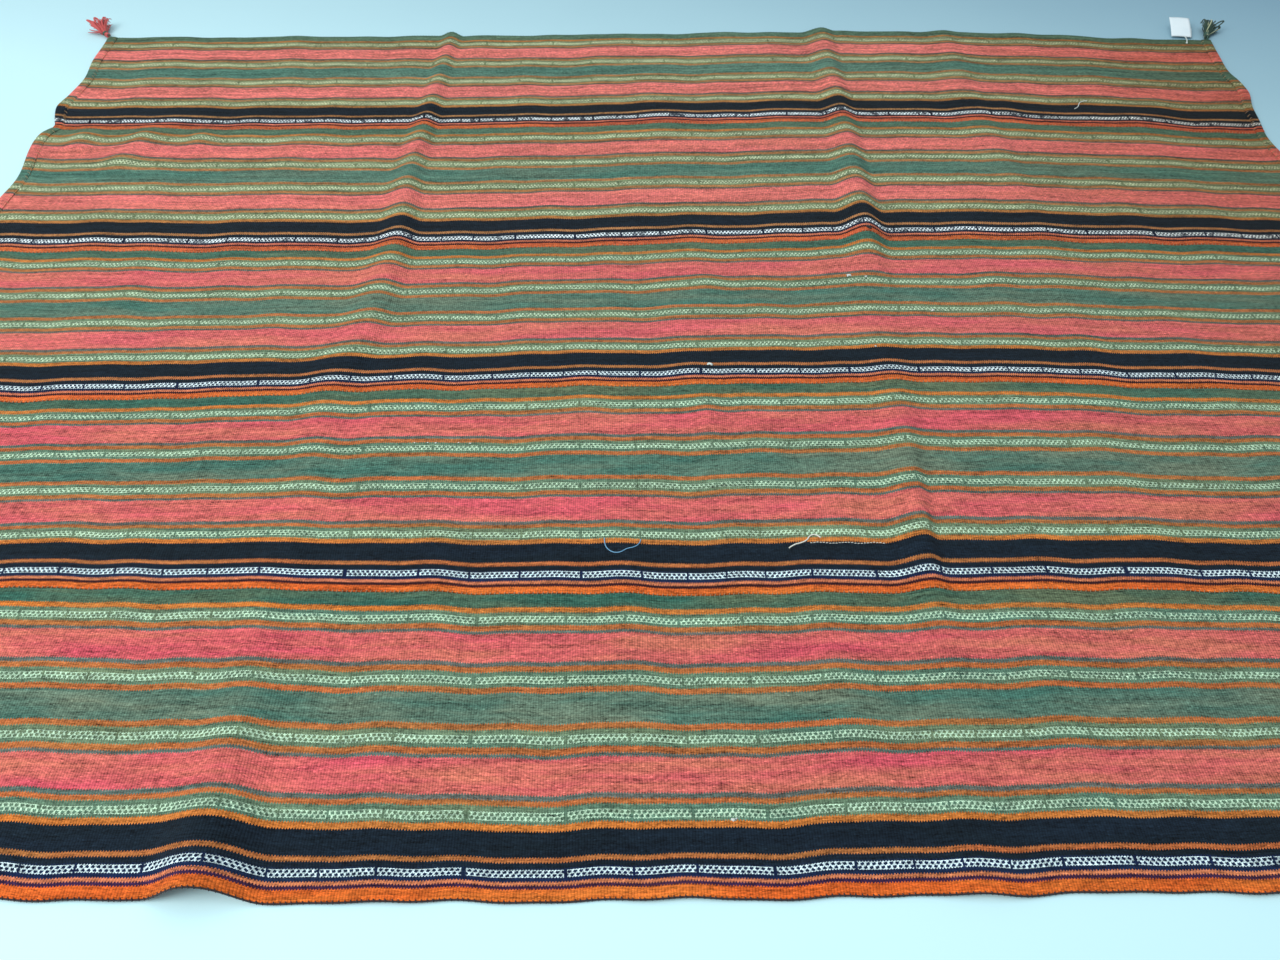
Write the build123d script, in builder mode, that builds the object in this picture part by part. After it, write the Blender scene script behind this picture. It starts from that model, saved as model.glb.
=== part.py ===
# Striped camp blanket, handwoven in five strips, laid out flat on the ground.
# X runs along the stripes, Y runs from the near edge to the far edge and Z is up.
# The origin is on the ground, under the middle of the blanket.
import math
import os
from build123d import *

# ---------- driving sizes, in millimetres ----------
strip_count = 5
strip_width = 360.0
blanket_length = 2300.0
cloth_thickness = 2.6
hem_width = 20.0
yarn_diameter = 1.0
trim_gap = 0.05
clearance = 0.3

# ---------- sizes worked out from them ----------
half_length = blanket_length / 2
half_width = strip_count * strip_width / 2
hem_inner_edge = half_length - hem_width
hem_height = 2 * cloth_thickness
margin = 60.0
seam_y = [-half_width + strip_width * k for k in range(strip_count + 1)]

# How far each edge or seam strays from straight, at seven places from left to right.
# The first row is the near edge, the last row is the far edge.
stray_x = [-half_length - margin, -750.0, -350.0, 50.0, 450.0, 750.0, half_length + margin]
stray_y = [
    [0.0, 4.0, -4.0, 0.0, 2.0, 0.0, 0.0],
    [20.0, 19.0, 10.0, 6.0, 10.0, 2.0, 0.0],
    [-10.0, -7.0, 8.0, 16.0, 18.0, 0.0, -12.0],
    [-11.0, -11.0, -10.0, 2.0, 7.0, -6.0, -28.0],
    [4.0, 2.0, 2.0, 16.0, 20.0, 2.0, -34.0],
    [-2.0, 0.0, 2.0, 10.0, 16.0, 5.0, -32.0],
]

# Two storage creases stand up as ridges that cross every strip.
# Each row is one edge or seam: ridge middle in X, half width and height.
left_ridge = [
    (-517.0, 64.0, 39.0),
    (-500.0, 55.0, 7.0),
    (-480.0, 50.0, 5.0),
    (-465.0, 46.0, 13.0),
    (-455.0, 44.0, 9.0),
    (-445.0, 42.0, 7.0),
]
right_ridge = [
    (290.0, 50.0, 4.0),
    (305.0, 46.0, 9.0),
    (320.0, 46.0, 6.0),
    (330.0, 46.0, 18.0),
    (340.0, 44.0, 13.0),
    (350.0, 42.0, 10.0),
]

os.makedirs("parts", exist_ok=True)


def section_y(line):
    """Where the section of one edge or seam stands, the outer ones beyond the cloth."""
    if line == 0:
        return seam_y[0] - margin
    if line == strip_count:
        return seam_y[-1] + margin
    return seam_y[line]


def ridged_line(line, height):
    """One line along the blanket, flat at a height but for its two ridges."""
    left_x, left_half, left_high = left_ridge[line]
    right_x, right_half, right_high = right_ridge[line]
    left_foot = (left_x - left_half, height)
    left_heel = (left_x + left_half, height)
    right_foot = (right_x - right_half, height)
    right_heel = (right_x + right_half, height)
    level = [(1, 0), (1, 0)]
    Spline(left_foot, (left_x, height + left_high), left_heel, tangents=level)
    Line(left_heel, right_foot)
    Spline(right_foot, (right_x, height + right_high), right_heel, tangents=level)
    return left_foot, right_heel


def cloth_section(line):
    """Section of the cloth along one edge or seam, with both end hems folded on top."""
    with BuildSketch(Plane.XZ.offset(-section_y(line))) as section:
        with BuildLine():
            low_left, low_right = ridged_line(line, 0.0)
            top_left, top_right = ridged_line(line, cloth_thickness)
            for side, low, top in ((-1, low_left, top_left), (1, low_right, top_right)):
                fold_x = side * (half_length - cloth_thickness)
                step_x = side * hem_inner_edge
                Line(low, (fold_x, 0.0))
                ThreePointArc(
                    (fold_x, 0.0),
                    (side * half_length, cloth_thickness),
                    (fold_x, hem_height),
                )
                Line((fold_x, hem_height), (step_x, hem_height))
                Line((step_x, hem_height), (step_x, cloth_thickness))
                Line((step_x, cloth_thickness), top)
        make_face()
    return section.sketch


def layer_section(line, bottom, top):
    """Section of a layer of yarn along one edge or seam, reaching the hems' inner edges."""
    reach = hem_inner_edge - yarn_diameter
    with BuildSketch(Plane.XZ.offset(-section_y(line))) as section:
        with BuildLine():
            low_left, low_right = ridged_line(line, bottom)
            top_left, top_right = ridged_line(line, top)
            for side, low, high in ((-1, low_left, top_left), (1, low_right, top_right)):
                Line(low, (side * reach, bottom))
                Line((side * reach, bottom), (side * reach, top))
                Line((side * reach, top), high)
        make_face()
    return section.sketch


def line_points(line, shift=0.0):
    """Plan of one edge or seam from left to right, shifted along Y."""
    return [(x, seam_y[line] + stray + shift) for x, stray in zip(stray_x, stray_y[line])]


def band(near_points, far_points):
    """Flat outline between two lines that run along the blanket."""
    with BuildSketch() as outline:
        with BuildLine():
            Spline(*near_points)
            Line(near_points[-1], far_points[-1])
            Spline(*far_points)
            Line(far_points[0], near_points[0])
        make_face()
    return outline.sketch


def cut_from(sheet, outline):
    """The part of a sheet that stands over a flat outline."""
    with BuildPart() as piece:
        add(sheet)
        with BuildSketch():
            add(outline)
        extrude(amount=margin, mode=Mode.INTERSECT)
    return piece.part


# ---------- the whole sheet, and the yarn layer that lies on it ----------
with BuildPart() as whole_cloth:
    for line in range(strip_count + 1):
        add(cloth_section(line))
    loft(ruled=True)

yarn_bottom = cloth_thickness + trim_gap
yarn_top = cloth_thickness + yarn_diameter
overcast_bottom = 0.4

with BuildPart() as yarn_layer:
    for line in range(strip_count + 1):
        add(layer_section(line, yarn_bottom, yarn_top))
    loft(ruled=True)

with BuildPart() as edge_layer:
    for line in range(strip_count + 1):
        add(layer_section(line, overcast_bottom, yarn_top))
    loft(ruled=True)

# ---------- five woven strips ----------
for number in range(1, strip_count + 1):
    outline = band(line_points(number - 1), line_points(number))
    woven_strip = cut_from(whole_cloth.part, outline)
    woven_strip.label = f"woven_strip_{number}"
    export_step(woven_strip, f"parts/woven_strip_{number}.step")

# ---------- the yarn that joins strip to strip ----------
seam_half_width = 2.5

for number in range(1, strip_count):
    outline = band(line_points(number, -seam_half_width), line_points(number, seam_half_width))
    joining_seam = cut_from(yarn_layer.part, outline)
    joining_seam.label = f"joining_seam_{number}"
    export_step(joining_seam, f"parts/joining_seam_{number}.step")

# ---------- overcast yarn round the near and far edges ----------
overcast_reach = 3.0
overcast_proud = 2.0

for name, line, out in (("near_edge_overcast", 0, -1), ("far_edge_overcast", strip_count, 1)):
    outside = sorted([0.0, out * overcast_proud])
    across = sorted([-out * overcast_reach, out * overcast_proud])
    wall_outline = band(line_points(line, outside[0]), line_points(line, outside[1]))
    top_outline = band(line_points(line, across[0]), line_points(line, across[1]))
    wall = cut_from(edge_layer.part, wall_outline)
    top = cut_from(yarn_layer.part, top_outline)
    with BuildPart() as overcast:
        add(wall)
        add(top)
    overcast.part.label = name
    export_step(overcast.part, f"parts/{name}.step")

# ---------- stitches that hold the two hems of each strip ----------
stitch_pitch = 12.0
stitch_long = 6.0
stitch_wide = 1.2
stitch_high = 0.6
stitch_slant = 35.0
stitches_per_hem = 26
stitch_line_x = hem_inner_edge + hem_width / 4

for number in range(1, strip_count + 1):
    end_stray = [(stray_y[number - 1][k] + stray_y[number][k]) / 2 for k in (0, -1)]
    middle_y = seam_y[number - 1] + strip_width / 2
    base = Plane.XY.offset(hem_height + trim_gap)
    with BuildPart() as hem_stitching:
        for side, stray in ((-1, end_stray[0]), (1, end_stray[1])):
            with BuildSketch(base):
                with Locations((side * stitch_line_x, middle_y + stray)):
                    with GridLocations(0, stitch_pitch, 1, stitches_per_hem):
                        SlotOverall(stitch_long, stitch_wide, rotation=stitch_slant)
        extrude(amount=stitch_high)
    hem_stitching.part.label = f"hem_stitching_{number}"
    export_step(hem_stitching.part, f"parts/hem_stitching_{number}.step")

# ---------- corner tassels ----------
# A tassel is a ball-shaped knot, a neck and a skirt that fans out and sags to the ground.
knot_radius = 5.0
neck_radius = 4.0
wrap_outer_radius = 5.6
wrap_start = 7.0
wrap_length = 6.0
knot_height = 6.5
corner_gap = 7.0
neck_overlap = 1.0
# distance along the tassel, half width, half height and height above the knot
skirt_sections = [
    (14.0, 4.0, 4.0, 0.0),
    (24.0, 11.0, 8.0, 2.5),
    (42.0, 21.0, 12.0, 6.5),
    (60.0, 15.0, 6.0, 0.5),
]


def corner_point(end, line):
    """Where a corner of the cloth is, end -1 at the left and 1 at the right."""
    first, second = (0, 1) if end < 0 else (-1, -2)
    share = margin / abs(stray_x[second] - stray_x[first])
    stray = stray_y[line][first] * (1 - share) + stray_y[line][second] * share
    return end * half_length, seam_y[line] + stray


def tassel_place(end, line, heading):
    """Plane at a tassel's knot whose normal points the way the tassel lies."""
    corner_x, corner_y = corner_point(end, line)
    turn = math.radians(heading)
    out = (math.cos(turn), math.sin(turn), 0.0)
    knot = (corner_x + corner_gap * out[0], corner_y + corner_gap * out[1], knot_height)
    return Plane(origin=knot, x_dir=(-out[1], out[0], 0.0), z_dir=out)


def make_tassel(place):
    """The yarn bundle: knot, neck and skirt in one solid."""
    with BuildPart() as bundle:
        with Locations(place):
            Sphere(knot_radius)
        with BuildSketch(place):
            Circle(neck_radius)
        extrude(amount=skirt_sections[0][0] + neck_overlap)
        for distance, half_wide, half_high, rise in skirt_sections:
            with BuildSketch(place.offset(distance)):
                with Locations((0.0, rise)):
                    Ellipse(half_wide, half_high)
        loft()
    return bundle.part


def make_wrap(place):
    """The turns of yarn tied round the tassel's neck."""
    with BuildPart() as wrap:
        with BuildSketch(place.offset(wrap_start)):
            Circle(wrap_outer_radius)
            Circle(neck_radius + trim_gap, mode=Mode.SUBTRACT)
        extrude(amount=wrap_length)
    return wrap.part


tassels = [
    ("far_left_tassel", -1, strip_count, 135.0),
    ("far_right_tassel", 1, strip_count, 75.0),
    ("near_left_tassel", -1, 0, 255.0),
    ("near_right_tassel", 1, 0, 315.0),
]

for name, end, line, heading in tassels:
    place = tassel_place(end, line, heading)
    bundle = make_tassel(place)
    bundle.label = name
    export_step(bundle, f"parts/{name}.step")
    wrap = make_wrap(place)
    wrap.label = f"{name}_wrap"
    export_step(wrap, f"parts/{name}_wrap.step")
    knot = place.origin
    print(f"{name}: knot at {knot.X:.1f}, {knot.Y:.1f}, {knot.Z:.1f}")

# ---------- blank folded tag and the thread that holds it ----------
tag_width = 41.0
tag_length = 58.0
tag_leaf = 0.5
tag_lift = 24.0
tag_corner = 2.0
lower_leaf_share = 0.88
lower_leaf_shift = 2.0
tag_fold_depth = 1.6
tag_x = 1106.0
tag_edge_y = 889.0
tag_base_z = 4.6
tag_place = Plane(origin=(tag_x, tag_edge_y, tag_base_z), x_dir=(1, -0.08, 0), z_dir=(0, 0, 1))
upper_place = tag_place.rotated((tag_lift, 0, 0))

with BuildPart() as blank_tag:
    with BuildSketch(upper_place):
        with Locations((0, tag_length / 2)):
            RectangleRounded(tag_width, tag_length, tag_corner)
    extrude(amount=tag_leaf)
    with BuildSketch(tag_place):
        with Locations((lower_leaf_shift, tag_length * lower_leaf_share / 2)):
            RectangleRounded(tag_width, tag_length * lower_leaf_share, tag_corner)
    extrude(amount=-tag_leaf)
    with BuildSketch(tag_place.offset(-tag_leaf)):
        Rectangle(tag_width, tag_fold_depth)
    extrude(amount=2 * tag_leaf)
blank_tag.part.label = "blank_tag"
export_step(blank_tag.part, "parts/blank_tag.step")

thread_radius = 0.5
# the thread leaves the cloth, arches over its edge and meets the tag's fold
thread_start = (1104.0, 856.0, cloth_thickness + 0.7)
thread_crown = (1105.5, 870.0, cloth_thickness + 7.0)
thread_end = (1107.0, 884.5, cloth_thickness + 1.6)
with BuildPart() as tag_thread:
    with BuildLine() as thread_path:
        ThreePointArc(thread_start, thread_crown, thread_end)
    with BuildSketch(Plane(origin=thread_path.line @ 0, z_dir=thread_path.line % 0)):
        Circle(thread_radius)
    sweep()
tag_thread.part.label = "tag_thread"
export_step(tag_thread.part, "parts/tag_thread.step")

# ---------- mending on the second strip's black band ----------
mend_start_x = 162.0
mend_pitch = 4.0
mend_count = 24
mend_y = -458.0
mend_long = 2.6
mend_wide = 0.8
mend_high = 0.5
mend_middle = mend_start_x + mend_pitch * (mend_count - 1) / 2

with BuildPart() as mending_stitches:
    with BuildSketch(Plane.XY.offset(cloth_thickness + trim_gap)):
        with Locations((mend_middle, mend_y)):
            with GridLocations(mend_pitch, 0, mend_count, 1):
                SlotOverall(mend_long, mend_wide)
    extrude(amount=mend_high)
mending_stitches.part.label = "mending_stitches"
export_step(mending_stitches.part, "parts/mending_stitches.step")

# ---------- loose yarns lying on the cloth ----------
arc_share = 0.45


def corner_radii(points):
    """Arc radius at each corner of a route, as large as its two runs allow."""
    radii = []
    for before, here, after in zip(points, points[1:], points[2:]):
        run_in = Vector(here) - Vector(before)
        run_out = Vector(after) - Vector(here)
        shorter = min(run_in.length, run_out.length)
        half_turn = math.radians(run_in.get_angle(run_out)) / 2
        radii.append(arc_share * shorter / math.tan(half_turn))
    return radii


def make_yarn(points, radius):
    """A round yarn along straight runs joined by tangent arcs."""
    radii = corner_radii(points)
    with BuildPart() as yarn:
        with BuildLine() as route:
            FilletPolyline(*points, radius=radii)
        with BuildSketch(Plane(origin=route.line @ 0, z_dir=route.line % 0)):
            Circle(radius)
        sweep()
    length = sum(edge.length for edge in route.edges())
    share = yarn.part.volume / (math.pi * radius**2 * length)
    print("  radii", [round(r, 1) for r in radii])
    print("  length", round(length, 1), "volume share", round(share, 3))
    return yarn.part


loose_z = cloth_thickness + clearance

# a blue thread that has pulled out into an open loop
blue_radius = 0.6
blue_z = loose_z + blue_radius
blue_route = [
    (-99.0, -448.0, blue_z),
    (-99.0, -457.0, blue_z),
    (-95.0, -466.0, blue_z),
    (-87.0, -471.5, blue_z),
    (-78.0, -470.5, blue_z),
    (-71.0, -464.5, blue_z),
    (-62.0, -462.5, blue_z),
    (-54.5, -457.0, blue_z),
    (-53.0, -450.0, blue_z),
]

# a white thread end on the fifth strip
white_radius = 0.7
white_z = loose_z + white_radius
white_route = [
    (826.0, 624.0, white_z),
    (817.0, 622.5, white_z),
    (809.5, 617.0, white_z),
    (806.0, 608.0, white_z),
    (802.0, 600.0, white_z),
    (794.5, 595.0, white_z),
]

# the soft white yarn knotted where the mending begins
mending_radius = 0.9
mending_z = loose_z + mending_radius
mending_route = [
    (133.0, -466.0, mending_z),
    (140.0, -460.5, mending_z),
    (149.0, -458.5, mending_z),
    (157.0, -454.5, mending_z),
    (161.0, -447.0, mending_z),
    (169.0, -444.5, mending_z),
    (174.5, -450.5, mending_z),
]

for name, route_points, radius in (
    ("loose_blue_thread", blue_route, blue_radius),
    ("loose_white_thread", white_route, white_radius),
    ("mending_yarn_tail", mending_route, mending_radius),
):
    print(name)
    yarn = make_yarn(route_points, radius)
    yarn.label = name
    export_step(yarn, f"parts/{name}.step")
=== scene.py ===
# Handwoven striped camp blanket, laid out flat: cloth, yarns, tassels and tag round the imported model.
import math
import random
import bpy
import numpy as np
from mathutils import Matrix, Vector


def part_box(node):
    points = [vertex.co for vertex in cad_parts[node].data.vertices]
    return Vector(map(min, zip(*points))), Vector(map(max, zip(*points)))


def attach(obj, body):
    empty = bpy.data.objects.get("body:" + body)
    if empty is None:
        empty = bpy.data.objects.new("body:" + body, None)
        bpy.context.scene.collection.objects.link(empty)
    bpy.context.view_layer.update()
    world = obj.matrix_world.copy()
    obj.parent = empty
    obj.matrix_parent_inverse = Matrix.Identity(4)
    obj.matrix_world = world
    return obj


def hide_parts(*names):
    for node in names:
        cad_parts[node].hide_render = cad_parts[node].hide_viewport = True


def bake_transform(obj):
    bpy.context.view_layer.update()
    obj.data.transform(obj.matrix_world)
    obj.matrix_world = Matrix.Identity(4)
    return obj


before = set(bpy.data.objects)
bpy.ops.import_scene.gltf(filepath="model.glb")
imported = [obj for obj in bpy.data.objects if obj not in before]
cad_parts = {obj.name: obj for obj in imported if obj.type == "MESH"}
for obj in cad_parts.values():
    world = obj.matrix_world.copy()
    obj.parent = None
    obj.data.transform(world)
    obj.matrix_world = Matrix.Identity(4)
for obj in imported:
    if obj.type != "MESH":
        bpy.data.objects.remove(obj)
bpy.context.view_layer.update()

scene = bpy.context.scene
print("frame loaded")


# shader maths
class Wire:
    # a socket that takes part in sums: every operator adds its Math node
    def __init__(self, shader, socket):
        self.shader = shader
        self.socket = socket

    def maths(self, operation, *terms):
        return self.shader.add("ShaderNodeMath", {"operation": operation}, dict(enumerate((self, *terms))))

    def __add__(self, other):
        return self.maths("ADD", other)

    def __sub__(self, other):
        return self.maths("SUBTRACT", other)

    def __rsub__(self, other):
        return self.shader.add("ShaderNodeMath", {"operation": "SUBTRACT"}, {0: other, 1: self})

    def __mul__(self, other):
        return self.maths("MULTIPLY", other)

    def __truediv__(self, other):
        return self.maths("DIVIDE", other)

    def __pow__(self, other):
        return self.maths("POWER", other)

    def __gt__(self, other):
        return self.maths("GREATER_THAN", other)

    def __lt__(self, other):
        return self.maths("LESS_THAN", other)

    __radd__ = __add__
    __rmul__ = __mul__

    def sine(self):
        return self.maths("SINE")

    def floor(self):
        return self.maths("FLOOR")

    def part(self):
        return self.maths("FRACT")

    def size(self):
        return self.maths("ABSOLUTE")


class Shader:
    def __init__(self, name):
        self.material = bpy.data.materials.new(name)
        self.material.use_nodes = True
        self.tree = self.material.node_tree
        self.tree.nodes.clear()

    # any node: its type, its settings first, then the values or links of its sockets
    def add(self, kind, settings=None, sockets=None, out=0):
        node = self.tree.nodes.new(kind)
        for key, value in (settings or {}).items():
            if key == "stops":
                setStops(node.color_ramp, value)
            else:
                setattr(node, key, value)
        for key, value in (sockets or {}).items():
            if isinstance(value, Wire):
                self.tree.links.new(value.socket, node.inputs[key])
            else:
                node.inputs[key].default_value = value
        return Wire(self, node.outputs[out]) if node.outputs else None

    def blend(self, share, first, second, way="MIX"):
        settings = {"data_type": "RGBA", "blend_type": way}
        return self.add("ShaderNodeMix", settings, {0: share, 6: first, 7: second}, 2)

    def point(self, x, y, z=0.0):
        return self.add("ShaderNodeCombineXYZ", None, {0: x, 1: y, 2: z})

    def cloud(self, place, scale=1.0, detail=2.0, rough=0.5):
        sockets = {"Vector": place, "Scale": scale, "Detail": detail, "Roughness": rough}
        return self.add("ShaderNodeTexNoise", None, sockets)

    def split(self, place, axis):
        return self.add("ShaderNodeSeparateXYZ", None, {0: place}, axis)

    def spread(self, value, low, high, end=1.0):
        # 0 below low, the end value above high
        return self.add("ShaderNodeMapRange", None, {0: value, 1: low, 2: high, 3: 0.0, 4: end})

    def dim(self, colour, light):
        return self.blend(1.0, colour, self.point(light, light, light), "MULTIPLY")

    def relief(self, height, strength, depth):
        sockets = {"Strength": strength, "Distance": depth, "Height": height}
        return self.add("ShaderNodeBump", None, sockets)

    def finish(self, colour, roughness, bump=None, sheen=0.0, **constants):
        sockets = {"Base Color": colour, "Roughness": roughness, "Sheen Weight": sheen}
        sockets.update(constants)
        if bump is not None:
            sockets["Normal"] = bump
        surface = self.add("ShaderNodeBsdfPrincipled", None, sockets)
        self.add("ShaderNodeOutputMaterial", None, {"Surface": surface})
        return self.material


def setStops(ramp, stops):
    ramp.interpolation = "CONSTANT"
    for place, colour in stops[len(ramp.elements):]:
        ramp.elements.new(place)
    for element, (place, colour) in zip(ramp.elements, stops):
        element.position = place
        element.color = colour


def paint(code):
    # a colour written as on a paint chart, made linear
    parts = [int(code[k:k + 2], 16) / 255 for k in (0, 2, 4)]
    linear = [p / 12.92 if p <= 0.04045 else ((p + 0.055) / 1.055) ** 2.4 for p in parts]
    return (*linear, 1.0)


def smoothCurve(places, values):
    # a smooth line through a few points, level at both ends
    places = np.array(places, float)
    values = np.array(values, float)
    slopes = np.zeros(len(values))
    slopes[1:-1] = (values[2:] - values[:-2]) / (places[2:] - places[:-2])

    def at(x):
        x = np.clip(x, places[0], places[-1])
        k = np.clip(np.searchsorted(places, x) - 1, 0, len(places) - 2)
        gap = places[k + 1] - places[k]
        t = (x - places[k]) / gap
        start = values[k] * (1 + 2 * t) * (1 - t) ** 2 + slopes[k] * gap * t * (1 - t) ** 2
        end = values[k + 1] * t * t * (3 - 2 * t) + slopes[k + 1] * gap * t * t * (t - 1)
        return start + end

    return at


# the lay of the cloth
blanket = {
    "strips": 5,
    "stripWidth": 0.36,
    "length": 2.3,
    "thick": 0.0026,
    "hem": 0.020,
    "foldGap": 0.0003,
    "cell": 0.005,
    "pointsAcross": 58,
    "caught": 0.0035,
}
halfLength = blanket["length"] / 2
halfWidth = blanket["strips"] * blanket["stripWidth"] / 2
seamY = [-halfWidth + blanket["stripWidth"] * k for k in range(blanket["strips"] + 1)]
thick = blanket["thick"]

# how far each edge or seam strays from straight, near edge first, far edge last
strayX = [-1.21, -0.75, -0.35, 0.05, 0.45, 0.75, 1.21]
strayY = [
    [0.005, 0.008, 0.000, -0.001, 0.000, -0.002, -0.002],
    [0.024, 0.023, 0.013, 0.005, 0.008, 0.000, -0.003],
    [-0.010, -0.007, 0.008, 0.015, 0.017, -0.001, -0.013],
    [-0.018, -0.020, -0.019, -0.005, 0.001, -0.011, -0.030],
    [-0.001, -0.004, -0.004, 0.010, 0.015, -0.001, -0.036],
    [-0.002, 0.0, 0.002, 0.010, 0.016, 0.005, -0.032],
]
strayAt = [smoothCurve(strayX, row) for row in strayY]

# both ends pull in and out a little, mostly where the strips are sewn together
leftShift = smoothCurve(
    [
        -0.90, -0.80, -0.70, -0.54, -0.46, -0.30, -0.18, -0.10, 0.05, 0.18, 0.26,
        0.38, 0.48, 0.52, 0.547, 0.573, 0.62, 0.66, 0.72, 0.80, 0.90,
    ],
    [
        0.0, 0.004, -0.003, 0.009, -0.003, 0.005, 0.011, -0.002, 0.004, 0.012, -0.001,
        0.008, -0.004, -0.002, 0.013, 0.006, -0.005, 0.003, 0.011, 0.005, 0.004,
    ],
)
rightShift = smoothCurve(
    [
        -0.90, -0.80, -0.70, -0.54, -0.46, -0.30, -0.18, -0.10, 0.05, 0.18,
        0.30, 0.43, 0.50, 0.55, 0.60, 0.65, 0.69, 0.73, 0.80, 0.90,
    ],
    [
        0.0, -0.005, 0.002, -0.011, -0.001, -0.006, -0.014, -0.003, -0.006, -0.018,
        -0.012, -0.022, -0.025, -0.016, -0.009, 0.004, 0.001, -0.005, 0.001, 0.010,
    ],
)

# a ridge is a row of places from near to far: y, crest x, left half width, right half width, height
storageRidges = [
    [
        (-0.90, -0.500, 0.056, 0.070, 0.034),
        (-0.85, -0.505, 0.064, 0.074, 0.029),
        (-0.77, -0.505, 0.066, 0.060, 0.017),
        (-0.66, -0.500, 0.060, 0.055, 0.009),
        (-0.54, -0.500, 0.055, 0.050, 0.006),
        (-0.18, -0.490, 0.060, 0.050, 0.006),
        (0.00, -0.458, 0.060, 0.040, 0.008),
        (0.18, -0.444, 0.050, 0.036, 0.013),
        (0.36, -0.450, 0.046, 0.032, 0.012),
        (0.54, -0.443, 0.038, 0.028, 0.011),
        (0.72, -0.436, 0.032, 0.026, 0.009),
        (0.90, -0.428, 0.030, 0.024, 0.010),
    ],
    [
        (-0.90, 0.285, 0.050, 0.050, 0.003),
        (-0.62, 0.295, 0.050, 0.040, 0.003),
        (-0.54, 0.300, 0.050, 0.030, 0.006),
        (-0.42, 0.308, 0.050, 0.020, 0.0125),
        (-0.18, 0.315, 0.050, 0.040, 0.005),
        (0.02, 0.322, 0.060, 0.050, 0.003),
        (0.10, 0.324, 0.050, 0.042, 0.008),
        (0.19, 0.330, 0.050, 0.042, 0.019),
        (0.30, 0.335, 0.050, 0.040, 0.019),
        (0.54, 0.342, 0.044, 0.034, 0.012),
        (0.90, 0.345, 0.044, 0.034, 0.010),
    ],
    [
        (-0.90, 0.600, 0.060, 0.050, 0.000),
        (-0.18, 0.610, 0.060, 0.050, 0.002),
        (0.36, 0.615, 0.070, 0.045, 0.004),
        (0.60, 0.605, 0.080, 0.040, 0.005),
        (0.90, 0.600, 0.060, 0.040, 0.004),
    ],
]

# small puckers: x, y, size along the stripes, size across them, height
puckers = [
    (-1.065, 0.500, 0.026, 0.034, 0.0095),
    (-0.955, 0.497, 0.026, 0.036, 0.0105),
    (-0.850, 0.500, 0.024, 0.030, 0.0080),
    (-0.970, 0.430, 0.032, 0.026, 0.0095),
    (-0.640, 0.500, 0.040, 0.040, 0.0020),
    (-0.800, 0.430, 0.030, 0.030, 0.0025),
    (0.060, 0.070, 0.030, 0.030, 0.0050),
    (0.045, -0.225, 0.020, 0.050, 0.0055),
    (0.030, -0.130, 0.030, 0.030, 0.0035),
    (0.530, 0.085, 0.050, 0.035, 0.0035),
    (0.640, 0.070, 0.045, 0.030, 0.0030),
    (-0.150, 0.060, 0.050, 0.030, 0.0025),
    (-0.700, -0.060, 0.060, 0.035, 0.0030),
    (0.020, 0.575, 0.035, 0.045, 0.0025),
    (0.655, 0.590, 0.040, 0.050, 0.0040),
    (0.900, 0.560, 0.060, 0.040, 0.0030),
    (0.150, -0.700, 0.060, 0.060, 0.0020),
    (-0.110, -0.640, 0.060, 0.050, 0.0020),
]


def ridgeHeight(rows, x, y):
    table = np.array(rows)
    crest, left, right, high = [smoothCurve(table[:, 0], table[:, k])(y) for k in range(1, 5)]
    side = x - crest
    share = np.clip(np.where(side < 0, -side / left, side / right), 0, 1)
    return high * (0.5 + 0.5 * np.cos(np.pi * share))


def liftAt(x, y):
    # height of the cloth's underside above the ground
    lift = sum(ridgeHeight(rows, x, y) for rows in storageRidges)
    for px, py, along, across, high in puckers:
        lift = lift + high * np.exp(-((x - px) / along) ** 2 - ((y - py) / across) ** 2)
    wave = 0.0007 * (1 + np.sin(21 * x + 5 * y + 1.3 * np.sin(7 * y)))
    wave = wave + 0.0006 * (1 + np.sin(47 * x - 9 * y + 2.0 * np.sin(11 * y + 3 * x)))
    return lift + wave


def endShift(x, y):
    # only the last part before each end follows the end's outline
    reach = np.clip((np.abs(x) - 0.95) / 0.20, 0, 1) ** 2
    return reach * np.where(x > 0, rightShift(y), leftShift(y))


def wobbleAt(x, y):
    # the stripes wander a little as they run
    return (
        0.0012 * np.sin(27 * x + 4 * y)
        + 0.0008 * np.sin(51 * x - 7 * y + 1.0)
        + 0.0006 * np.sin(83 * x + 13 * y + 2.0)
    )


def planY(line, x):
    y = seamY[line] + strayAt[line](x)
    return y + wobbleAt(x, y)


def seamPoint(line, x, shift=0.0, up=0.0):
    # a point on the cloth's top face, measured from an edge or seam
    y = planY(line, x) + shift
    return np.stack([x, y, liftAt(x, y) + thick + up], axis=-1)


def topPoint(x, y, up=0.0):
    return (x, y, float(liftAt(np.array(x), np.array(y))) + thick + up)


# mesh making
def newPiece(name, vertices, faces, material, smooth=True):
    mesh = bpy.data.meshes.new(name)
    mesh.from_pydata([tuple(map(float, v)) for v in vertices], [], faces)
    mesh.validate()
    mesh.update()
    piece = bpy.data.objects.new(name, mesh)
    scene.collection.objects.link(piece)
    piece.data.materials.append(material)
    for face in mesh.polygons:
        face.use_smooth = smooth
    return piece


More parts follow.
